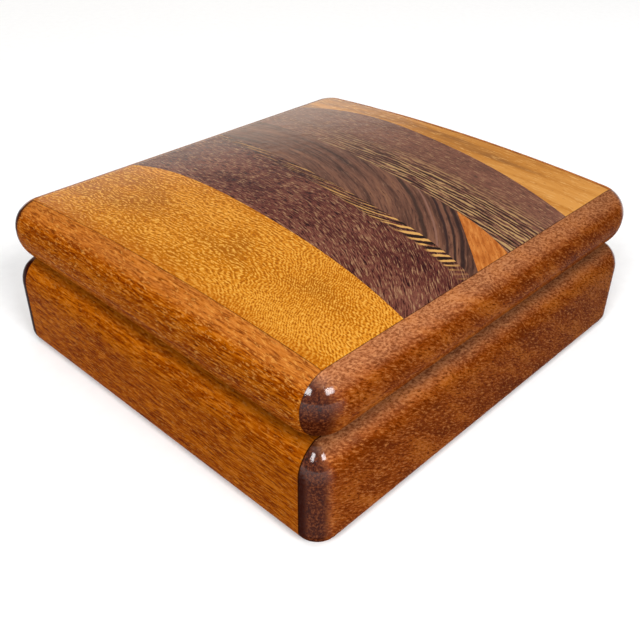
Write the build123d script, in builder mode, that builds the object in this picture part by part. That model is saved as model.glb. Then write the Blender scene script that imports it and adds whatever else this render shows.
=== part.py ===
"""A wooden puzzle box with a sliding lid, a sliding end board and a hidden lock bolt.

Frame: millimetres, +Z up, origin at the middle of the footprint on the surface the box stands on.
+X points to the end board that slides, -Y to the front side board.

How it opens: the end board slides along +Y on a hidden dovetail rail and uncovers the knob of
a bolt. The knob draws the bolt out from behind a tab that hangs from the lid. The lid then
slides along -X on two lipped runners, which never leave their grooves.
"""

from build123d import *
import os

# ---------------------------------------------------------------- driving dimensions

box_length = 104.0          # X, over the end boards
box_width = 113.0           # Y, over the side boards
parting_height = 23.4       # middle of the groove between base and lid
parting_gap = 0.2           # play between the base's rim and the lid's underside
crown_height = 39.8         # top of the lid along its middle
crown_drop = 2.2            # how much lower the crown ends over the end boards

side_thickness = 6.0
end_thickness = 5.2

base_corner_radius = 5.0
lid_corner_radius = 8.0
bottom_rounding = 3.0
lid_top_rounding = 6.5
base_groove_inset = 4.5     # how far the base's rim stands in from its faces
base_groove_depth = 6.8     # how far down that rounding reaches
lid_groove_inset = 4.8
lid_groove_depth = 7.8

bottom_thickness = 3.2
inner_wall_thickness = 4.0
lock_wall_thickness = 4.5   # inner layer of the lock wall, which holds the bolt
slot_wall_thickness = 4.0   # outer layer, with the knob's slot
liner_thickness = 5.0
inlay_bed_height = 33.4     # top of the lid's core, where the inlay is glued on

# ---------------------------------------------------------------- travels and play

end_board_travel = 32.0
bolt_travel = 13.0
lid_travel = 58.0
slide_play = 0.2            # between a sliding face and its guide
stop_play = 0.3             # left at the end of a travel

# ---------------------------------------------------------------- derived places

half_length = box_length / 2
half_width = box_width / 2
base_top = parting_height - parting_gap / 2
lid_bottom = parting_height + parting_gap / 2
end_inner_x = half_length - end_thickness
side_inner_y = half_width - side_thickness
slot_wall_x = end_inner_x - slot_wall_thickness
lock_wall_x = slot_wall_x - lock_wall_thickness
left_wall_x = -end_inner_x + inner_wall_thickness
liner_inner_y = side_inner_y - liner_thickness

# The dovetail rail that carries the end board.
rail_start_y = -8.0
rail_end_y = 46.0
rail_height = 8.5           # of its centre line above the table
rail_depth = 2.4
rail_width_at_wall = 4.4
rail_width_at_tip = 6.4
rail_screw_spacing = 34.0

# The lock bolt, drawn back: its knob is at the -Y end of the slot.
bolt_height = 17.0          # of its centre line above the table
bolt_section = 4.0          # Z
bolt_thickness = 2.9        # X
bolt_start_y = -47.6
bolt_end_y = -22.2
knob_length = 6.0           # Y
knob_width = 3.2            # Z
knob_setback = 1.0          # from the bolt's end
knob_recess = 0.3           # how far the knob stays behind the wall's outer face

# The tab under the lid, which the bolt blocks.
tab_middle_y = -17.0
tab_width = 8.0
tab_thickness = 2.2
tab_bottom = 14.2
tab_tenon = 4.5             # how far it is let into the lid's core
tab_play = 0.3

# The lid's runners.
runner_start_x = 17.4
runner_end_x = 37.4
runner_bottom = 14.5
runner_web = 3.8
runner_lip = 2.9            # how far the lip reaches into the liner
runner_lip_height = 3.5
runner_screw_spacing = 12.0

# Small brass wood screws.
screw_shank_radius = 0.8
screw_head_radius = 1.5
screw_head_depth = 1.1
screw_slot_width = 0.4
screw_slot_depth = 0.5
rail_screw_length = 5.8
runner_screw_length = 14.0

finished = []


def finish(piece, label):
    """Names a finished piece and keeps it for export."""
    piece.part.label = label
    finished.append(piece)


def block(x_span, y_span, z_span, mode=Mode.ADD):
    """A box between two limits along each axis."""
    spans = (x_span, y_span, z_span)
    with Locations(tuple(sum(span) / 2 for span in spans)):
        Box(*(max(span) - min(span) for span in spans), mode=mode)


# ---------------------------------------------------------------- outer shapes


def groove_cutter(corner_radius, inset, depth, towards):
    """A ring round the footprint that rounds an edge over to the parting plane.

    towards is +1 for the base, whose rounding rises to that plane, and -1 for the lid.
    """
    clear = 1.0
    start = parting_height - towards * depth
    beyond = parting_height + towards * clear
    face_y = -half_width
    with BuildPart(mode=Mode.PRIVATE) as cutter:
        with BuildLine() as outline:
            FilletPolyline(
                (0, face_y),
                (half_length, face_y),
                (half_length, half_width),
                (0, half_width),
                radius=corner_radius,
            )
        with BuildSketch(Plane.YZ) as profile:
            with BuildLine():
                TangentArc((face_y, start), (face_y + inset, parting_height), tangent=(0, towards))
                Polyline(
                    (face_y + inset, parting_height),
                    (face_y + inset, beyond),
                    (face_y - clear, beyond),
                    (face_y - clear, start),
                    (face_y, start),
                )
            make_face()
        sweep(sections=profile.sketch, path=outline.line)
        mirror(about=Plane.YZ)
    return cutter.part


with BuildPart() as base_body:
    with BuildSketch():
        RectangleRounded(box_length, box_width, base_corner_radius)
    extrude(amount=base_top)
    fillet(base_body.edges().group_by(Axis.Z)[0], bottom_rounding)
    add(groove_cutter(base_corner_radius, base_groove_inset, base_groove_depth, 1), mode=Mode.SUBTRACT)

with BuildPart() as lid_body:
    with BuildSketch(Plane.XY.offset(lid_bottom)):
        RectangleRounded(box_length, box_width, lid_corner_radius)
    extrude(amount=crown_height - lid_bottom)
    with BuildSketch(Plane.XZ):
        with BuildLine():
            ThreePointArc(
                (-half_length, crown_height - crown_drop),
                (0, crown_height),
                (half_length, crown_height - crown_drop),
            )
            Polyline(
                (half_length, crown_height - crown_drop),
                (half_length, lid_bottom),
                (-half_length, lid_bottom),
                (-half_length, crown_height - crown_drop),
            )
        make_face()
    extrude(amount=half_width, both=True, mode=Mode.INTERSECT)
    fillet(lid_body.faces().sort_by(Axis.Z)[-1].edges(), lid_top_rounding)
    add(groove_cutter(lid_corner_radius, lid_groove_inset, lid_groove_depth, -1), mode=Mode.SUBTRACT)

# ---------------------------------------------------------------- fasteners


def screw_solid(length, slotted):
    """One countersunk screw with its head's face at Z = 0 and its point down."""
    with BuildPart(mode=Mode.PRIVATE) as screw:
        with BuildSketch(Plane.XZ):
            with BuildLine():
                Polyline(
                    (0, 0),
                    (screw_head_radius, 0),
                    (screw_shank_radius, -screw_head_depth),
                    (screw_shank_radius, -length + screw_shank_radius),
                    (0, -length),
                    close=True,
                )
            make_face()
        revolve(axis=Axis.Z)
        if slotted:
            block(
                (-screw_head_radius, screw_head_radius),
                (-screw_slot_width / 2, screw_slot_width / 2),
                (-screw_slot_depth, 0),
                Mode.SUBTRACT,
            )
    return screw.part


def place_screws(places, length, slotted=True, mode=Mode.ADD):
    """Screws at a list of locations, or with slotted=False the holes they fill."""
    solid = screw_solid(length, slotted)
    for place in places:
        add(place * solid, mode=mode)


rail_tip_x = end_inner_x + rail_depth
rail_screw_places = [
    Plane(origin=(rail_tip_x, y, rail_height), x_dir=(0, 1, 0), z_dir=(1, 0, 0)).location
    for y in (
        (rail_start_y + rail_end_y - rail_screw_spacing) / 2,
        (rail_start_y + rail_end_y + rail_screw_spacing) / 2,
    )
]
runner_web_y = liner_inner_y - slide_play - runner_web / 2
runner_middle_x = (runner_start_x + runner_end_x) / 2


def runner_screw_places(side):
    """The two screws of one runner, driven up from its underside into the lid's core."""
    return [
        Plane(origin=(x, side * runner_web_y, runner_bottom), z_dir=(0, 0, -1)).location
        for x in (runner_middle_x - runner_screw_spacing / 2, runner_middle_x + runner_screw_spacing / 2)
    ]


# ---------------------------------------------------------------- base, fixed pieces

side_spans = {"front": (-half_width, -side_inner_y), "back": (side_inner_y, half_width)}

for name, y_span in side_spans.items():
    with BuildPart() as base_side:
        add(base_body.part)
        block((-end_inner_x, end_inner_x), y_span, (0, base_top), Mode.INTERSECT)
    finish(base_side, f"base_side_{name}")

with BuildPart() as base_end_left:
    add(base_body.part)
    block((-half_length, -end_inner_x), (-half_width, half_width), (0, base_top), Mode.INTERSECT)
finish(base_end_left, "base_end_left")

with BuildPart() as bottom_panel:
    block((-end_inner_x, end_inner_x), (-side_inner_y, side_inner_y), (0, bottom_thickness))
finish(bottom_panel, "bottom_panel")

with BuildPart() as inner_wall_left:
    block((-end_inner_x, left_wall_x), (-side_inner_y, side_inner_y), (bottom_thickness, base_top))
finish(inner_wall_left, "inner_wall_left")

# Each side liner has a groove, closed at both ends, for the lip of a lid runner.
lip_bottom = runner_bottom + stop_play
lip_top = lip_bottom + runner_lip_height
groove_y = liner_inner_y + runner_lip + stop_play
for name, side in (("front", -1), ("back", 1)):
    with BuildPart() as side_liner:
        block(
            (left_wall_x, lock_wall_x),
            (side * liner_inner_y, side * side_inner_y),
            (bottom_thickness, base_top),
        )
        block(
            (runner_start_x - lid_travel - stop_play, runner_end_x + stop_play),
            (side * liner_inner_y, side * groove_y),
            (lip_bottom - slide_play, lip_top + slide_play),
            Mode.SUBTRACT,
        )
    finish(side_liner, f"side_liner_{name}")

# ---------------------------------------------------------------- lock wall

bolt_x_span = (slot_wall_x - slide_play - bolt_thickness, slot_wall_x - slide_play)
channel_x = bolt_x_span[0] - slide_play
channel_z_span = (
    bolt_height - bolt_section / 2 - slide_play,
    bolt_height + bolt_section / 2 + slide_play,
)
tab_x_span = (slot_wall_x + tab_play, slot_wall_x + tab_play + tab_thickness)
tab_y_span = (tab_middle_y - tab_width / 2, tab_middle_y + tab_width / 2)
notch_y_span = (tab_y_span[0] - tab_play, tab_y_span[1] + tab_play)
notch_bottom = tab_bottom - tab_play
knob_y_span = (bolt_start_y + knob_setback, bolt_start_y + knob_setback + knob_length)

with BuildPart() as lock_wall_inner:
    block((lock_wall_x, slot_wall_x), (-side_inner_y, side_inner_y), (bottom_thickness, base_top))
    # Channel of the bolt, open towards the slotted layer.
    block(
        (channel_x, slot_wall_x),
        (bolt_start_y - stop_play, bolt_end_y + bolt_travel + stop_play),
        channel_z_span,
        Mode.SUBTRACT,
    )
    # Notch that lets the tab leave along -X.
    block((lock_wall_x, slot_wall_x), notch_y_span, (notch_bottom, base_top), Mode.SUBTRACT)
finish(lock_wall_inner, "lock_wall_inner")

with BuildPart() as lock_wall_outer:
    block((slot_wall_x, end_inner_x), (-side_inner_y, side_inner_y), (bottom_thickness, base_top))
    # Slot of the knob, narrower than the bolt, so that it keeps the bolt in its channel.
    block(
        (slot_wall_x, end_inner_x),
        (knob_y_span[0] - stop_play, knob_y_span[1] + bolt_travel + stop_play),
        (bolt_height - knob_width / 2 - slide_play, bolt_height + knob_width / 2 + slide_play),
        Mode.SUBTRACT,
    )
    # Pocket of the tab while the lid is shut.
    block((slot_wall_x, tab_x_span[1] + tab_play), notch_y_span, (notch_bottom, base_top), Mode.SUBTRACT)
    place_screws(rail_screw_places, rail_screw_length, slotted=False, mode=Mode.SUBTRACT)
finish(lock_wall_outer, "lock_wall_outer")

with BuildPart() as lock_bolt:
    block(
        bolt_x_span,
        (bolt_start_y, bolt_end_y),
        (bolt_height - bolt_section / 2, bolt_height + bolt_section / 2),
    )
    chamfer(lock_bolt.faces().sort_by(Axis.Y)[-1].edges(), bolt_section / 8)
finish(lock_bolt, "lock_bolt")

with BuildPart() as bolt_knob:
    block(
        (bolt_x_span[1], end_inner_x - knob_recess),
        knob_y_span,
        (bolt_height - knob_width / 2, bolt_height + knob_width / 2),
    )
    # Thumb grooves across the knob's face.
    with Locations(Plane(origin=bolt_knob.faces().sort_by(Axis.X)[-1].center(), z_dir=(1, 0, 0))):
        with GridLocations(knob_length / 4, 1, 3, 1):
            Cylinder(knob_length / 20, knob_width, rotation=(90, 0, 0), mode=Mode.SUBTRACT)
finish(bolt_knob, "bolt_knob")

# ---------------------------------------------------------------- end board and its rail


def dovetail(y_span, depth, play):
    """A dovetail bar along Y on the outer face of the lock wall, wider by play all round."""
    with BuildPart(mode=Mode.PRIVATE) as bar:
        with BuildSketch(Plane.XZ.offset(-y_span[0])):
            with BuildLine():
                Polyline(
                    (end_inner_x, rail_height - rail_width_at_wall / 2 - play),
                    (end_inner_x + depth, rail_height - rail_width_at_tip / 2 - play),
                    (end_inner_x + depth, rail_height + rail_width_at_tip / 2 + play),
                    (end_inner_x, rail_height + rail_width_at_wall / 2 + play),
                    close=True,
                )
            make_face()
        extrude(amount=-(y_span[1] - y_span[0]))
    return bar.part


with BuildPart() as end_board_rail:
    add(dovetail((rail_start_y, rail_end_y), rail_depth, 0))
    place_screws(rail_screw_places, rail_screw_length, slotted=False, mode=Mode.SUBTRACT)
finish(end_board_rail, "end_board_rail")

with BuildPart() as rail_screws:
    place_screws(rail_screw_places, rail_screw_length)
finish(rail_screws, "rail_screws")

end_board_x_span = (end_inner_x + slide_play, half_length)
end_board_z_span = (slide_play, base_top)
rail_groove_start = rail_start_y - end_board_travel - stop_play
rail_groove_end = rail_end_y + stop_play
rail_groove_depth = rail_depth + slide_play

with BuildPart() as base_end_right:
    add(base_body.part)
    block(end_board_x_span, (-half_width, half_width), end_board_z_span, Mode.INTERSECT)
    add(dovetail((rail_groove_start, half_width), rail_groove_depth, slide_play), mode=Mode.SUBTRACT)
finish(base_end_right, "base_end_right")

# The rail enters the groove at the board's back end, and this plug then closes it.
with BuildPart() as rail_groove_plug:
    add(base_body.part)
    block(end_board_x_span, (rail_groove_end, half_width), end_board_z_span, Mode.INTERSECT)
    add(dovetail((rail_groove_end, half_width), rail_groove_depth, slide_play), mode=Mode.INTERSECT)
finish(rail_groove_plug, "rail_groove_plug")

# ---------------------------------------------------------------- lid frame and core

lid_z_span = (lid_bottom, crown_height)

for name, y_span in side_spans.items():
    with BuildPart() as lid_side:
        add(lid_body.part)
        block((-end_inner_x, end_inner_x), y_span, lid_z_span, Mode.INTERSECT)
    finish(lid_side, f"lid_side_{name}")

for name, x_span in (("left", (-half_length, -end_inner_x)), ("right", (end_inner_x, half_length))):
    with BuildPart() as lid_end:
        add(lid_body.part)
        block(x_span, (-half_width, half_width), lid_z_span, Mode.INTERSECT)
    finish(lid_end, f"lid_end_{name}")

with BuildPart() as lid_core:
    block((-end_inner_x, end_inner_x), (-side_inner_y, side_inner_y), (lid_bottom, inlay_bed_height))
    block(tab_x_span, tab_y_span, (lid_bottom, lid_bottom + tab_tenon), Mode.SUBTRACT)
    for side in (-1, 1):
        place_screws(runner_screw_places(side), runner_screw_length, slotted=False, mode=Mode.SUBTRACT)
finish(lid_core, "lid_core")

with BuildPart() as lock_tab:
    block(tab_x_span, tab_y_span, (tab_bottom, lid_bottom + tab_tenon))
finish(lock_tab, "lock_tab")

for name, side in (("front", -1), ("back", 1)):
    web_y = side * (liner_inner_y - slide_play)
    with BuildPart() as lid_runner:
        block(
            (runner_start_x, runner_end_x),
            (web_y - side * runner_web, web_y),
            (runner_bottom, lid_bottom),
        )
        block(
            (runner_start_x, runner_end_x),
            (web_y, side * (liner_inner_y + runner_lip)),
            (lip_bottom, lip_top),
        )
        place_screws(runner_screw_places(side), runner_screw_length, slotted=False, mode=Mode.SUBTRACT)
    finish(lid_runner, f"lid_runner_{name}")

with BuildPart() as runner_screws:
    for side in (-1, 1):
        place_screws(runner_screw_places(side), runner_screw_length)
finish(runner_screws, "runner_screws")

# ---------------------------------------------------------------- inlay of the lid's top

# Ends of the seams at the left and right edges of the inlaid panel.
left_x = -end_inner_x
right_x = end_inner_x
front_y = -side_inner_y
back_y = side_inner_y
amber_front_ends = ((left_x, -22.2), (right_x, -28.6))
leaf_front_ends = ((left_x, 8.0), (right_x, -7.3))
leaf_back_start = (left_x, 21.2)
leaf_tip = (28.7, 12.8)
wedge_front_end = (right_x, -4.7)
wedge_back_end = (right_x, 6.2)
amber_back_ends = ((left_x, 37.6), (right_x, 30.0))


def amber_front_seam():
    between = ((-38.0, -19.3), (-27.0, -18.5), (0.0, -20.3), (23.0, -23.2))
    Spline(amber_front_ends[0], *between, amber_front_ends[1])


def leaf_front_seam():
    Spline(leaf_front_ends[0], (-10.0, 4.2), (11.0, 1.2), (33.0, -2.4), leaf_front_ends[1])


def leaf_back_seam():
    Spline(leaf_back_start, (-12.0, 19.8), (9.0, 16.4), leaf_tip)


def wedge_front_seam():
    ThreePointArc(leaf_tip, (37.0, 4.9), wedge_front_end)


def wedge_back_seam():
    ThreePointArc(leaf_tip, (38.5, 10.0), wedge_back_end)


def amber_back_seam():
    between = ((-38.0, 41.9), (-26.0, 44.3), (-4.0, 42.8), (21.0, 38.3))
    Spline(amber_back_ends[0], *between, amber_back_ends[1])


# Each piece of the inlay, with the seams and straight edges round it.
inlay_outlines = {
    "inlay_amber_front": (
        [amber_front_seam],
        [amber_front_ends[1], (right_x, front_y), (left_x, front_y), amber_front_ends[0]],
    ),
    "inlay_purple_front": (
        [amber_front_seam, leaf_front_seam],
        [amber_front_ends[0], leaf_front_ends[0]],
        [amber_front_ends[1], leaf_front_ends[1]],
    ),
    "inlay_dark_leaf": (
        [leaf_front_seam, leaf_back_seam, wedge_front_seam],
        [leaf_front_ends[0], leaf_back_start],
        [leaf_front_ends[1], wedge_front_end],
    ),
    "inlay_orange_wedge": (
        [wedge_front_seam, wedge_back_seam],
        [wedge_front_end, wedge_back_end],
    ),
    "inlay_purple_back": (
        [leaf_back_seam, wedge_back_seam, amber_back_seam],
        [leaf_back_start, amber_back_ends[0]],
        [wedge_back_end, amber_back_ends[1]],
    ),
    "inlay_amber_back": (
        [amber_back_seam],
        [amber_back_ends[0], (left_x, back_y), (right_x, back_y), amber_back_ends[1]],
    ),
}

for name, (seams, *edges) in inlay_outlines.items():
    with BuildPart() as inlay:
        with BuildSketch(Plane.XY.offset(inlay_bed_height)):
            with BuildLine():
                for seam in seams:
                    seam()
                for edge in edges:
                    Polyline(*edge)
            make_face()
        extrude(amount=crown_height - inlay_bed_height)
        add(lid_body.part, mode=Mode.INTERSECT)
    finish(inlay, name)

# ---------------------------------------------------------------- export

os.makedirs("parts", exist_ok=True)
for piece in finished:
    export_step(piece.part, f"parts/{piece.part.label}.step")
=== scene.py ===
"""Looks of the wooden puzzle box: lacquered woods, brass screws, floor, light and camera.

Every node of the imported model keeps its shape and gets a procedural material. Wood is a solid
texture in the model's own millimetres, so grain, pores and figure have their real size. Places
and lengths inside the materials are millimetres, and the rates of a noise are per millimetre.
"""

import math

import bpy
from mathutils import Matrix, Vector


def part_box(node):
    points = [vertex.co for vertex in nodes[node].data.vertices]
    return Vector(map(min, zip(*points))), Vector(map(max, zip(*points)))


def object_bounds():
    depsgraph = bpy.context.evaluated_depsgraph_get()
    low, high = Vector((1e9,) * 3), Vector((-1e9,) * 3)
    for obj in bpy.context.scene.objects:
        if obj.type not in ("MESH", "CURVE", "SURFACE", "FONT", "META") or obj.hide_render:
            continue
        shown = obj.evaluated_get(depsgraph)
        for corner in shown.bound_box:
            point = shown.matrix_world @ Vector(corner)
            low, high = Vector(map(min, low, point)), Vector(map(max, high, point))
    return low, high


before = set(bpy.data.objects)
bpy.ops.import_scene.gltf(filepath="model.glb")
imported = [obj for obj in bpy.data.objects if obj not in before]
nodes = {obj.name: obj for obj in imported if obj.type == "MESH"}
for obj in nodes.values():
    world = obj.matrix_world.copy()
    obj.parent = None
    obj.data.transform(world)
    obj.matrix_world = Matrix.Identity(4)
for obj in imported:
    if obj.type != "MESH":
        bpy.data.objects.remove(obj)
cad_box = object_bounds()

MM = 0.001
low, high = cad_box
box_size = high - low
box_middle = (low + high) / 2

# ---------------------------------------------------------------- places, in millimetres

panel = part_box("lid_core")[1] / MM          # the inlaid panel's half length and half width
panel_x = panel.x
panel_y = panel.y
rim_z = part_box("base_end_left")[1].z / MM   # the base's rim, where the groove is deepest

# ---------------------------------------------------------------- writing shaders


def linear(hex_colour):
    """A colour written as on a paint card, in the renderer's linear light."""
    channels = [int(hex_colour[i:i + 2], 16) / 255 for i in (1, 3, 5)]
    return [c / 12.92 if c <= 0.04045 else ((c + 0.055) / 1.055) ** 2.4 for c in channels] + [1.0]


class Shader:
    """A material's node tree, with one short call for each kind of node used here."""

    def __init__(self, name):
        self.material = bpy.data.materials.new(name)
        self.material.use_nodes = True
        self.tree = self.material.node_tree
        self.tree.nodes.clear()
        place = self.node("ShaderNodeTexCoord").outputs
        self.position = self.vector_math("SCALE", place["Object"], scale=1 / MM)
        self.x, self.y, self.z = self.split(self.position)
        self.facing = self.split(place["Normal"])

    def fill(self, socket, value):
        """Links a socket to another one, or sets it to a plain value."""
        if isinstance(value, bpy.types.NodeSocket):
            self.tree.links.new(value, socket)
        else:
            socket.default_value = value

    def node(self, kind, inputs=None, **settings):
        made = self.tree.nodes.new(kind)
        for setting, value in settings.items():
            setattr(made, setting, value)
        for socket, value in (inputs or {}).items():
            self.fill(made.inputs[socket], value)
        return made

    def math(self, operation, a, b=0.0, c=0.0):
        return self.node("ShaderNodeMath", {0: a, 1: b, 2: c}, operation=operation).outputs[0]

    def plus(self, a, b):
        return self.math("ADD", a, b)

    def minus(self, a, b):
        return self.math("SUBTRACT", a, b)

    def times(self, a, b):
        return self.math("MULTIPLY", a, b)

    def times_plus(self, a, b, c):
        """a times b, plus c."""
        return self.math("MULTIPLY_ADD", a, b, c)

    def apart(self, a, b):
        """How far a is from b, either way."""
        return self.math("ABSOLUTE", self.minus(a, b))

    def vector_math(self, operation, a, b=(0, 0, 0), scale=1.0):
        inputs = {0: a, "Scale": scale} if operation == "SCALE" else {0: a, 1: b}
        return self.node("ShaderNodeVectorMath", inputs, operation=operation).outputs[0]

    def vector(self, x, y, z=0.0):
        return self.node("ShaderNodeCombineXYZ", {0: x, 1: y, 2: z}).outputs[0]

    def split(self, place):
        return self.node("ShaderNodeSeparateXYZ", {0: place}).outputs

    def polar(self, x, y, centre_x, centre_y):
        """Distance from an upright axis, and the length of the arc round it."""
        off_x = self.minus(x, centre_x)
        off_y = self.minus(y, centre_y)
        distance = self.math("SQRT", self.plus(self.times(off_x, off_x), self.times(off_y, off_y)))
        return distance, self.times(self.math("ARCTAN2", off_x, off_y), distance)

    def smooth(self, value, start, end):
        """0 before start, 1 after end, and a smooth step between; start may be the larger."""
        inputs = {"Value": value, "From Min": start, "From Max": end}
        return self.node("ShaderNodeMapRange", inputs, interpolation_type="SMOOTHSTEP").outputs[0]

    def noise(self, place, rates, detail=3.0, roughness=0.5):
        """Random patches from 0 to 1. rates is how many along each axis of place, or one number."""
        if isinstance(rates, tuple):
            place = self.vector_math("MULTIPLY", place, rates)
            rates = 1.0
        inputs = {"Vector": place, "Scale": rates, "Detail": detail, "Roughness": roughness}
        return self.node("ShaderNodeTexNoise", inputs).outputs[0]

    def dashes(self, place, length, width, share):
        """Scattered short dashes along the first axis of place, as pores are in wood: 1 on a dash.

        length and width are the spacing of the dashes, and share the part of the places that has one.
        """
        edge, core = 0.35, 0.14             # where a dash fades out and where it is full, in spacings
        cells = self.node(
            "ShaderNodeTexVoronoi",
            {"Vector": self.vector_math("DIVIDE", place, (length, width, width)), "Scale": 1.0},
        ).outputs
        near = self.smooth(cells["Distance"], edge, core)
        chosen = self.node("ShaderNodeSeparateColor", {0: cells["Color"]}).outputs[0]
        return self.times(near, self.math("LESS_THAN", chosen, share))

    def ramp(self, value, stops):
        """A colour ramp through (position, colour) stops."""
        made = self.node("ShaderNodeValToRGB", {0: value})
        elements = made.color_ramp.elements
        while len(elements) < len(stops):
            elements.new(1.0)
        for element, (position, colour) in zip(elements, stops):
            element.position = position
            element.color = linear(colour)
        return made.outputs[0]

    def blend(self, first, amount, second):
        """second laid over first by amount. second is a socket or a colour as on a paint card."""
        made = self.node("ShaderNodeMix", data_type="RGBA")
        self.fill(made.inputs[0], amount)
        self.fill(made.inputs[6], first)
        self.fill(made.inputs[7], linear(second) if isinstance(second, str) else second)
        return made.outputs[2]

    def wandering(self, place, reach, amount):
        """place pushed about by up to amount, in waves about reach long."""
        inputs = {"Vector": place, "Scale": 1 / reach, "Detail": 2.0}
        drift = self.node("ShaderNodeTexNoise", inputs).outputs[1]
        centred = self.vector_math("SUBTRACT", drift, (0.5, 0.5, 0.5))
        return self.vector_math("ADD", place, self.vector_math("SCALE", centred, scale=2 * amount))

    def finish(self, colour, height, roughness, gloss=0.1, coat=0.0, relief=0.02, metallic=0.0):
        """Joins colour, surface relief and gloss in one surface. relief is its depth."""
        bump = self.node("ShaderNodeBump", {"Height": height, "Distance": relief * MM, "Strength": 1.0})
        surface = self.node(
            "ShaderNodeBsdfPrincipled",
            {
                "Base Color": colour,
                "Roughness": roughness,
                "Metallic": metallic,
                "Normal": bump.outputs[0],
                "Specular IOR Level": gloss,
                "Coat Weight": coat,
                "Coat Roughness": 0.1,
                "Coat Normal": bump.outputs[0],
            },
        )
        output = self.node("ShaderNodeOutputMaterial")
        self.tree.links.new(surface.outputs[0], output.inputs[0])
        return self.material


# ---------------------------------------------------------------- lacquer, painted shade and painted light

glue_line_width = 0.16
glue_colour = "#2a0f05"
glue_strength = 0.75
# Painted shade: its colour, and how strong it is in the groove and at the foot.
painted_shade_colour = "#1c0600"
recess_shade_strength = 0.5
groove_reach = 2.2                          # how far above and below the rim shade is painted in the groove
foot_height = 1.5                           # how far up from the floor a contact shadow is painted on the base
dark_end_grain = "#2c0701"
under_lacquer = 0.84                        # how much of a bare wood's brightness is left under lacquer
lacquer_roughness = 0.14
grain_height, ripple_height, pore_depth = 0.35, 2.2, 0.4    # in the film's relief, next to each other
board_look = {"painted_side_shade": 0.25, "gloss": 0.003}                # of the boards round the lid and the base


def glue_line(shader, place, edge):
    """1 along the glue line at plus and minus edge, 0 elsewhere."""
    off = shader.apart(shader.math("ABSOLUTE", place), edge)
    return shader.smooth(off, glue_line_width, 0.0)


def painted_recess_shade(shader):
    """Where shade is painted: 1 deep in the groove and in a contact shadow at the base's foot, 0
    elsewhere.
    """
    in_groove = shader.smooth(shader.apart(shader.z, rim_z), groove_reach, 0.0)
    at_foot = shader.smooth(shader.z, foot_height, 0.0)
    return shader.math("MAXIMUM", in_groove, at_foot)


def lacquered(shader, colour, pores, grain, panel_sides=True, painted_side_shade=0.0, gloss=0.06, coat=0.0):
    """Clear lacquer over a wood: painted shade, glue lines, filled pores and a faint ripple in the film.

    panel_sides says whether the wood meets the panel's front and back glue lines. The next
    argument paints shade on the faces that look out or down, away from the light.
    """
    # Painted shade on the faces that look out or down, away from the light.
    turned_from_light = shader.smooth(shader.facing[2], 0.75, 0.15)
    colour = shader.blend(colour, shader.times(turned_from_light, painted_side_shade), painted_shade_colour)
    # Painted shade deep in the groove and a painted contact shadow at the base's foot.
    colour = shader.blend(colour, shader.times(painted_recess_shade(shader), recess_shade_strength), painted_shade_colour)
    seams = glue_line(shader, shader.x, panel_x)
    if panel_sides:
        seams = shader.math("MAXIMUM", seams, glue_line(shader, shader.y, panel_y))
    colour = shader.blend(colour, shader.times(seams, glue_strength), glue_colour)
    colour = shader.vector_math("SCALE", colour, scale=under_lacquer)
    ripple = shader.noise(shader.position, 0.35, 2.0)
    height = shader.times_plus(grain, grain_height, shader.times(ripple, ripple_height))
    height = shader.minus(height, shader.times(pores, pore_depth))
    # The film is smooth, a little less so on the grain, and dull underneath, where it isn't polished.
    underneath = shader.smooth(shader.facing[2], -0.1, -0.5)
    film = shader.times_plus(underneath, 0.6, lacquer_roughness)
    roughness = shader.times_plus(grain, 0.1, film)
    return shader.finish(colour, height, roughness, gloss=gloss, coat=coat)


def painted_top_light(shader, colour, fibres, pale, start, full):
    """Paints light on the faces that look up: a paler colour, laid on the raised fibres most.

    start and full are heights of the surface's normal.
    """
    least, more_on_fibres = 0.18, 0.5
    up = shader.smooth(shader.facing[2], start, full)
    share = shader.times_plus(shader.smooth(fibres, 0.36, 0.64), more_on_fibres, least)
    return shader.blend(colour, shader.times(up, share), pale)


# ---------------------------------------------------------------- boards of the outside


def amber_side(name, painted_glint, pale, panel_sides):
    """Orange-brown side boards: long streaks, short dark pores and bright flecks along X."""
    s = Shader(name)
    place = s.wandering(s.position, 9.0, 0.6)
    streaks = s.noise(place, (0.05, 0.7, 0.7), 6.0, 0.7)
    fibres = s.noise(place, (0.28, 2.8, 2.8), 4.0, 0.65)
    colour = s.ramp(streaks, [(0.36, "#7a3000"), (0.5, "#954400"), (0.62, "#ae5a04")])
    colour = s.blend(colour, s.smooth(fibres, 0.5, 0.66), "#c2701a")
    colour = s.blend(colour, s.smooth(fibres, 0.5, 0.34), "#662300")
    # Painted light: faces that look up are painted paler, as if lit from above.
    colour = painted_top_light(s, colour, fibres, pale, 0.55, 0.85)
    # Bright flecks aslant to the grain, where the fibres weave in and out of the face, are painted glints
    # of the wood's shimmer.
    weave = s.vector(s.times_plus(s.z, -1.1, s.x), s.times_plus(s.x, 0.22, s.y), s.z)
    flecks = s.noise(weave, (0.6, 2.2, 2.2), 3.0, 0.65)
    colour = s.blend(colour, s.times(s.smooth(flecks, 0.52, 0.68), painted_glint), "#e29c48")
    pores = s.dashes(place, 2.4, 0.45, 0.3)
    colour = s.blend(colour, s.times(pores, 0.6), "#541c00")
    # The rounded corners that turn towards the left end are darkened to the end grain's colour.
    beside_left_end = s.smooth(s.facing[0], -0.1, -0.26)
    colour = s.blend(colour, s.times(beside_left_end, 0.9), dark_end_grain)
    return lacquered(s, colour, pores, fibres, panel_sides, **board_look)


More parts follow.
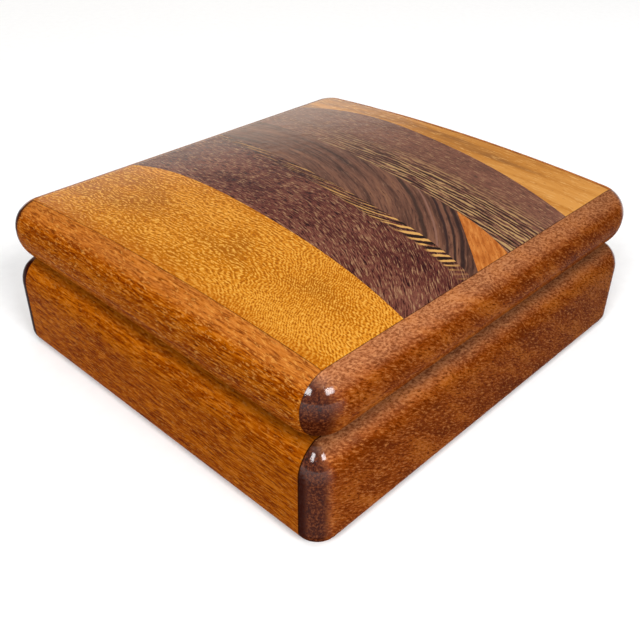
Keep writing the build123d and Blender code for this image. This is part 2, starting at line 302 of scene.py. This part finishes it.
def mahogany_end(name):
    """Red-brown end boards: sloping fibres, short dark pores, and dark glossy end grain at the ends."""
    s = Shader(name)
    slope = math.radians(33)
    along = s.plus(s.times(s.y, math.cos(slope)), s.times(s.z, -math.sin(slope)))
    across = s.plus(s.times(s.y, math.sin(slope)), s.times(s.z, math.cos(slope)))
    place = s.wandering(s.vector(along, across, s.x), 9.0, 1.0)
    bands = s.noise(place, (0.05, 0.2, 0.2), 5.0, 0.6)
    fibres = s.noise(place, (0.7, 2.6, 2.6), 4.0, 0.65)
    colour = s.ramp(bands, [(0.34, "#662704"), (0.5, "#833a09"), (0.64, "#a05418")])
    colour = s.blend(colour, s.smooth(fibres, 0.5, 0.7), "#b26c34")
    colour = s.blend(colour, s.smooth(fibres, 0.5, 0.34), "#5c2200")
    # Painted light: faces that look up are painted paler, as if lit from above.
    colour = painted_top_light(s, colour, fibres, "#c98a5e", 0.4, 0.95)
    # Painted light falloff: the boards are painted a little darker towards the back, where less light
    # reaches.
    brightness = s.times_plus(s.y, -0.0042, 0.95)
    colour = s.vector_math("SCALE", colour, scale=brightness)
    pores = s.dashes(s.vector(s.y, s.z, s.x), 1.3, 0.42, 0.3)
    colour = s.blend(colour, s.times(pores, 0.5), "#4c1c06")
    # End grain drinks the lacquer: nearly black at the seam, fading out round the corner.
    mottle = s.noise(s.position, 1.9, 4.0, 0.7)
    end_colour = s.ramp(mottle, [(0.36, "#260902"), (0.5, "#491a07"), (0.66, "#7a4020")])
    turned = s.times_plus(mottle, 0.25, s.math("ABSOLUTE", s.facing[1]))
    colour = s.blend(colour, s.smooth(turned, 0.3, 0.72), end_colour)
    left_is_darker = s.times(s.smooth(s.x, 10.0, -10.0), 0.4)
    darkest = s.smooth(s.plus(turned, left_is_darker), 1.05, 1.13)
    colour = s.blend(colour, darkest, dark_end_grain)
    # A thick clear coat stands on the corner where it looks up, but sinks in where it is darkest.
    faces_up = s.smooth(s.facing[2], -0.2, 0.45)
    not_sunk_in = s.times_plus(darkest, -0.72, 0.82)
    coat = s.times(s.times(s.smooth(turned, 0.15, 0.5), not_sunk_in), faces_up)
    return lacquered(s, colour, pores, fibres, panel_sides=False, coat=coat, **board_look)


# ---------------------------------------------------------------- woods of the inlay


def amber_inlay(name):
    """Golden inlay with a figure like a fingerprint: fine ridges that loop and lie aslant on the right."""
    s = Shader(name)
    px, py, _ = s.split(s.wandering(s.position, 5.0, 0.6))
    ridge_rate = 6.4                        # radians a millimetre, so the ridges are 1 mm apart
    slant_start, slant_full = 6.0, 40.0
    bends = s.noise(s.vector(px, py), (0.11, 0.2, 1.0), 3.0, 0.6)
    slant = s.times(s.smooth(s.x, slant_start, slant_full), s.minus(s.x, slant_start))
    phase = s.times_plus(s.plus(py, slant), ridge_rate, s.times(bends, 40.0))
    fine = s.noise(s.vector(px, py), (1.0, 2.4, 1.0), 3.0, 0.65)
    figure = s.times_plus(s.math("SINE", phase), 0.09, fine)
    # Painted light falloff: the X term makes the inlay darker towards the left end, on top of the wood's
    # own clouds.
    clouds = s.times_plus(s.x, 0.0026, s.noise(s.position, (0.05, 0.1, 0.1)))
    colour = s.ramp(clouds, [(0.32, "#b0660a"), (0.5, "#cc7a0e"), (0.7, "#de8e24")])
    colour = s.blend(colour, s.smooth(figure, 0.51, 0.66), "#eeae48")
    colour = s.blend(colour, s.smooth(figure, 0.5, 0.36), "#a45a0a")
    pores = s.dashes(s.wandering(s.position, 9.0, 1.0), 1.2, 0.45, 0.2)
    colour = s.blend(colour, s.times(pores, 0.3), "#8a4708")
    near_front = s.smooth(s.times_plus(clouds, 8.0, s.y), -40.0, -48.0)
    colour = s.blend(colour, s.times(near_front, 0.45), "#b8600c")
    return lacquered(s, colour, pores, figure, gloss=0.04)


def amber_back(name):
    """Paler golden inlay with soft bands along X."""
    s = Shader(name)
    place = s.wandering(s.position, 20.0, 1.5)
    # Painted light falloff: the X term makes the inlay darker towards the left end, on top of the wood's
    # own bands.
    bands = s.times_plus(s.x, 0.004, s.noise(place, (0.02, 0.25, 0.25), 4.0))
    fibres = s.noise(place, (0.3, 2.0, 2.0), 3.0, 0.6)
    colour = s.ramp(bands, [(0.3, "#96602a"), (0.5, "#bf7c30"), (0.7, "#d69446")])
    colour = s.blend(colour, s.smooth(fibres, 0.52, 0.72), "#dfa45c")
    pores = s.dashes(place, 1.8, 0.5, 0.3)
    colour = s.blend(colour, s.times(pores, 0.4), "#94571c")
    return lacquered(s, colour, pores, fibres)


def purple_figure(s, place):
    """Purple-brown ground with fine tan and dark flecks along the first axis of place."""
    flecks = s.noise(place, (0.45, 2.8, 2.8), 3.0, 0.65)
    clouds = s.times_plus(s.x, 0.0012, s.noise(s.position, (0.05, 0.12, 0.1)))
    colour = s.ramp(clouds, [(0.35, "#562822"), (0.5, "#68352b"), (0.68, "#7d493a")])
    colour = s.blend(colour, s.smooth(flecks, 0.53, 0.67), "#a8805c")
    colour = s.blend(colour, s.smooth(flecks, 0.49, 0.36), "#2a0f10")
    return colour, flecks, clouds


def stripe_figure(s, colour, stripes, zone, pale, dark):
    """Pale bars with dark gaps between them laid over a colour, where zone is 1."""
    colour = s.blend(colour, s.times(s.smooth(stripes, 0.45, 0.3), zone), dark)
    return s.blend(colour, s.times(s.smooth(stripes, 0.5, 0.62), zone), pale)


def leaf_edge(s):
    """Y of the front seam of the dark leaf: a straight line with a tail that curves to the front."""
    seam_y, seam_slope = 2.8, -0.145
    tail_start, tail_length, tail_drop = 30.0, 17.0, 3.3
    along_tail = s.math("DIVIDE", s.minus(s.x, tail_start), tail_length)
    tail = s.math("POWER", s.math("MAXIMUM", along_tail, 0.0), 2.0)
    return s.times_plus(tail, -tail_drop, s.times_plus(s.x, seam_slope, seam_y))


def purple_front(name):
    """Purple-brown inlay with tan flecks, and black and yellow stripes running out at the leaf."""
    s = Shader(name)
    right_of_bend = s.math("MAXIMUM", s.plus(s.x, 5.0), 0.0)
    bent = s.times_plus(s.math("POWER", right_of_bend, 2.0), 0.01, s.y)
    place = s.wandering(s.vector(s.x, bent, s.z), 4.0, 0.5)
    colour, flecks, clouds = purple_figure(s, place)
    # The stripes rise ever steeper towards the leaf's tip, where the seam cuts them off one by one.
    stripes_start, stripes_length, stripes_drop = 5.0, 35.0, 14.0
    along = s.math("DIVIDE", s.minus(s.x, stripes_start), stripes_length)
    drop = s.math("POWER", s.math("MAXIMUM", along, 0.0), 2.5)
    across = s.times_plus(drop, -stripes_drop, s.y)
    wave = s.noise(s.vector(s.x, s.y), (0.1, 0.5, 1.0), 3.0, 0.6)
    phase = s.times_plus(across, 2.5, s.times(wave, 4.0))
    breaks = s.noise(s.vector(s.x, across), (0.13, 0.5, 1.0), 2.0)
    bars = s.plus(s.times_plus(s.math("SINE", phase), 0.26, 0.46), s.minus(breaks, 0.5))
    lines = s.noise(s.vector(s.x, across), (0.05, 1.7, 1.0), 3.0, 0.6)
    lines = s.times_plus(lines, 1.8, -0.46)
    stripes = s.blend(lines, s.smooth(s.x, 14.0, 30.0), bars)
    # They keep within about 5 mm of the seam, are faint on the left, and fade out at the tip.
    below_seam = s.minus(leaf_edge(s), s.y)
    zone = s.smooth(s.times_plus(clouds, 3.0, below_seam), 5.6, 4.4)
    zone = s.times(zone, s.times_plus(s.smooth(s.x, -35.0, 28.0), 0.6, 0.4))
    zone = s.times(zone, s.times_plus(s.smooth(s.x, 40.0, 44.0), -0.85, 1.0))
    colour = stripe_figure(s, colour, stripes, zone, "#dba65c", "#22140d")
    pores = s.dashes(place, 1.3, 0.4, 0.3)
    return lacquered(s, colour, pores, flecks)


def purple_back(name):
    """Thin tan and dark lines along X at its front, turning to plain purple-brown at its back."""
    s = Shader(name)
    bend = s.math("POWER", s.plus(s.x, 30.0), 2.0)
    across = s.times_plus(bend, 0.0013, s.y)
    place = s.wandering(s.vector(s.x, across, s.z), 7.0, 0.3)
    colour, _, _ = purple_figure(s, place)
    colour = s.blend(colour, 0.35, "#8f6650")
    wave = s.noise(place, (0.07, 0.35, 0.35), 3.0, 0.65)
    phase = s.times_plus(s.split(place)[1], 6.0, s.times(wave, 16.0))
    breaks = s.noise(place, (0.1, 1.1, 1.1), 3.0, 0.65)
    lines = s.times_plus(s.math("SINE", phase), 0.17, 0.45)
    lines = s.plus(lines, s.times_plus(breaks, 1.3, -0.65))
    zone = s.smooth(s.times_plus(wave, 5.0, across), 36.0, 27.0)
    zone = s.times(zone, s.times(s.smooth(s.x, -45.0, 14.0), 0.92))
    colour = stripe_figure(s, colour, lines, zone, "#bc9662", "#281812")
    pores = s.dashes(place, 1.6, 0.45, 0.35)
    colour = s.blend(colour, s.times(pores, 0.5), "#2f1a12")
    return lacquered(s, colour, pores, lines)


def dark_leaf(name):
    """Dark purple-brown inlay whose lines bend round in nested arcs, boldest beside the wedge."""
    s = Shader(name)
    centre_x, centre_y = -31.0, -55.0
    px, py, _ = s.split(s.wandering(s.position, 11.0, 0.6))
    ring, around = s.polar(px, py, centre_x, centre_y)
    lines = s.noise(s.vector(ring, around), (0.6, 0.03, 1.0), 5.0, 0.7)
    fibres = s.noise(s.vector(ring, around), (2.2, 0.25, 1.0), 3.0, 0.65)
    colour = s.ramp(lines, [(0.36, "#3f2820"), (0.46, "#613e30"), (0.55, "#734b3a"), (0.66, "#8b5e44")])
    colour = s.blend(colour, s.smooth(fibres, 0.53, 0.78), "#8f6750")
    colour = s.blend(colour, s.smooth(fibres, 0.47, 0.25), "#3a231d")
    towards_tip = s.smooth(s.x, -6.0, 14.0)
    bold_lines = [
        (81.6, 0.75, "#38261f"),
        (84.2, 0.35, "#8c6353"),
        (86.4, 0.5, "#2a1b1c"),
        (88.0, 0.45, "#1e1416"),
        (89.6, 0.7, "#1e1416"),
    ]
    for radius, half_width, shade in bold_lines:
        on_line = s.smooth(s.apart(ring, radius), half_width, half_width * 0.3)
        colour = s.blend(colour, s.times(s.times(on_line, towards_tip), 0.85), shade)
    pores = s.dashes(s.vector(around, ring, s.z), 1.4, 0.42, 0.25)
    return lacquered(s, colour, pores, fibres)


def orange_wedge(name):
    """Bright orange inlay with fine streaks along its front seam."""
    s = Shader(name)
    along = s.minus(s.x, s.y)
    across = s.plus(s.x, s.y)
    streaks = s.noise(s.vector(along, across), (0.12, 0.8, 1.0), 4.0, 0.7)
    colour = s.ramp(streaks, [(0.35, "#a3541a"), (0.5, "#be6c2a"), (0.66, "#d58740")])
    pores = s.dashes(s.vector(along, across, s.z), 1.6, 0.45, 0.4)
    colour = s.blend(colour, s.times(pores, 0.6), "#7a3a10")
    return lacquered(s, colour, pores, streaks)


# ---------------------------------------------------------------- woods and metal of the inside


def plain_wood(name, axis, pale, middle, dark):
    """Sanded wood under a thin satin seal, with its grain along one axis."""
    s = Shader(name)
    order = {"x": (s.x, s.y, s.z), "y": (s.y, s.z, s.x), "z": (s.z, s.x, s.y)}[axis]
    along = s.wandering(s.vector(*order), 16.0, 1.2)
    rings = s.noise(along, (0.03, 0.6, 0.6), 4.0, 0.6)
    fibres = s.noise(along, (0.3, 4.0, 4.0), 3.0, 0.6)
    colour = s.ramp(rings, [(0.35, dark), (0.5, middle), (0.68, pale)])
    colour = s.blend(colour, s.times(s.smooth(fibres, 0.5, 0.3), 0.5), dark)
    pores = s.dashes(along, 1.8, 0.5, 0.3)
    colour = s.blend(colour, s.times(pores, 0.5), dark)
    height = s.minus(fibres, s.times(pores, 0.8))
    roughness = s.times_plus(fibres, 0.2, 0.42)
    return s.finish(colour, height, roughness, relief=0.04)


def brass(name):
    """Turned brass with fine rings and a little tarnish."""
    s = Shader(name)
    turning = s.noise(s.position, (9.0, 9.0, 1.5), 2.0)
    tarnish = s.noise(s.position, 0.6)
    colour = s.ramp(tarnish, [(0.35, "#9c7a35"), (0.6, "#d8b765")])
    roughness = s.times_plus(tarnish, 0.25, 0.2)
    return s.finish(colour, turning, roughness, relief=0.01, metallic=1.0)


# ---------------------------------------------------------------- which node has which wood

walnut = ("#a8794c", "#8a5c36", "#5a3418")
cedar = ("#dcae78", "#c8925a", "#9c6434")

materials = {
    # The colours in the amber_side calls are the painted light on the faces that look up.
    amber_side("amber_base_wood", 0.3, "#b8640f", False): ["base_side_front", "base_side_back"],
    amber_side("amber_lid_wood", 0.6, "#cf8038", True): ["lid_side_front", "lid_side_back"],
    mahogany_end("mahogany_wood"): [
        "base_end_left", "base_end_right", "rail_groove_plug", "lid_end_left", "lid_end_right",
    ],
    amber_inlay("amber_inlay_wood"): ["inlay_amber_front"],
    amber_back("amber_back_wood"): ["inlay_amber_back"],
    purple_front("purple_front_wood"): ["inlay_purple_front"],
    purple_back("purple_back_wood"): ["inlay_purple_back"],
    dark_leaf("dark_leaf_wood"): ["inlay_dark_leaf"],
    orange_wedge("orange_wedge_wood"): ["inlay_orange_wedge"],
    plain_wood("cedar_along_x", "x", *cedar): [
        "bottom_panel", "side_liner_front", "side_liner_back", "lid_core",
    ],
    plain_wood("cedar_along_y", "y", *cedar): ["inner_wall_left", "lock_wall_inner", "lock_wall_outer"],
    plain_wood("walnut_along_x", "x", *walnut): ["lid_runner_front", "lid_runner_back"],
    plain_wood("walnut_along_y", "y", *walnut): ["end_board_rail", "lock_bolt", "bolt_knob"],
    plain_wood("walnut_along_z", "z", *walnut): ["lock_tab"],
    brass("brass_screw_metal"): ["rail_screws", "runner_screws"],
}
for material, names in materials.items():
    for name in names:
        mesh = nodes[name].data
        mesh.materials.clear()
        mesh.materials.append(material)

# ---------------------------------------------------------------- floor and light

floor_reach = 60                            # half the floor's width, in lengths of the box
floor_gap = 0.1 * MM                        # keeps the floor clear of the box's underside


def direction(azimuth, elevation):
    """The unit vector from the box towards a light or the camera: azimuth 0 is in front, 90 right."""
    a, e = math.radians(azimuth), math.radians(elevation)
    return Vector((math.sin(a) * math.cos(e), -math.cos(a) * math.cos(e), math.sin(e)))


def floor():
    """A pale floor, wide enough to fill every view."""
    reach = floor_reach * box_size.x
    mesh = bpy.data.meshes.new("floor")
    corners = [(-reach, -reach, 0), (reach, -reach, 0), (reach, reach, 0), (-reach, reach, 0)]
    mesh.from_pydata(corners, [], [(0, 1, 2, 3)])
    made = bpy.data.objects.new("floor", mesh)
    made.location.z = low.z - floor_gap
    bpy.context.scene.collection.objects.link(made)
    s = Shader("pale_floor")
    grain = s.noise(s.position, 0.3)
    colour = s.ramp(grain, [(0.3, "#f8f8f8"), (0.7, "#fbfbfb")])
    mesh.materials.append(s.finish(colour, grain, 0.9, gloss=0.0, relief=0.01))


def soft_light(name, azimuth, elevation, distance, size, watts, colour=(1, 1, 1)):
    """A rectangular light aimed at the box's middle. Distance and size are in lengths of the box."""
    width, height = size
    light = bpy.data.lights.new(name, "AREA")
    light.shape = "RECTANGLE"
    light.size = width * box_size.x
    light.size_y = height * box_size.x
    light.energy = watts
    light.color = colour
    made = bpy.data.objects.new(name, light)
    made.location = box_middle + direction(azimuth, elevation) * distance * box_size.x
    made.rotation_euler = (box_middle - made.location).to_track_quat("-Z", "Y").to_euler()
    bpy.context.scene.collection.objects.link(made)


def surroundings(strength):
    """Even white light from all round."""
    world = bpy.data.worlds.new("studio")
    world.use_nodes = True
    background = world.node_tree.nodes["Background"]
    background.inputs["Color"].default_value = (1, 1, 1, 1)
    background.inputs["Strength"].default_value = strength
    bpy.context.scene.world = world


warm_white = (1.0, 0.89, 0.76)

floor()
surroundings(0.35)
soft_light("overhead", 20, 80, distance=15, size=(15, 15), watts=4.5)
soft_light("back_left_panel", -127, 11, distance=8, size=(5.0, 2.0), watts=0.9, colour=warm_white)
soft_light("back_right_panel", 138, 33, distance=7, size=(1.5, 1.2), watts=0.5)
soft_light("left_lamp", 13, 37, distance=14, size=(4.0, 4.7), watts=12.7)
soft_light("right_lamp", 80, 37, distance=14, size=(4.7, 4.0), watts=12.7)

# ---------------------------------------------------------------- camera

camera_azimuth = 43.395
camera_elevation = 33.988
camera_roll = 0.639
camera_distance = 1.781                      # in lengths of the box, from the point aimed at
camera_aim = Vector((0.340, -0.360, 0.005))  # from the box's middle, in its half sizes
camera_lens = 46.62
camera_sensor = 36.0
camera_nearest = 0.01                        # nothing nearer than this is seen


def add_camera():
    """A camera that looks at the near corner from above, with the front and the right end in view."""
    data = bpy.data.cameras.new("camera")
    data.lens = camera_lens
    data.sensor_width = camera_sensor
    data.clip_start = camera_nearest
    made = bpy.data.objects.new("camera", data)
    aim = box_middle + Vector(a * size / 2 for a, size in zip(camera_aim, box_size))
    made.location = aim + direction(camera_azimuth, camera_elevation) * camera_distance * box_size.x
    upright = (aim - made.location).to_track_quat("-Z", "Y").to_matrix()
    made.rotation_euler = (upright @ Matrix.Rotation(math.radians(camera_roll), 3, "Z")).to_euler()
    bpy.context.scene.collection.objects.link(made)
    bpy.context.scene.camera = made


add_camera()
bpy.context.scene.view_settings.view_transform = "Standard"
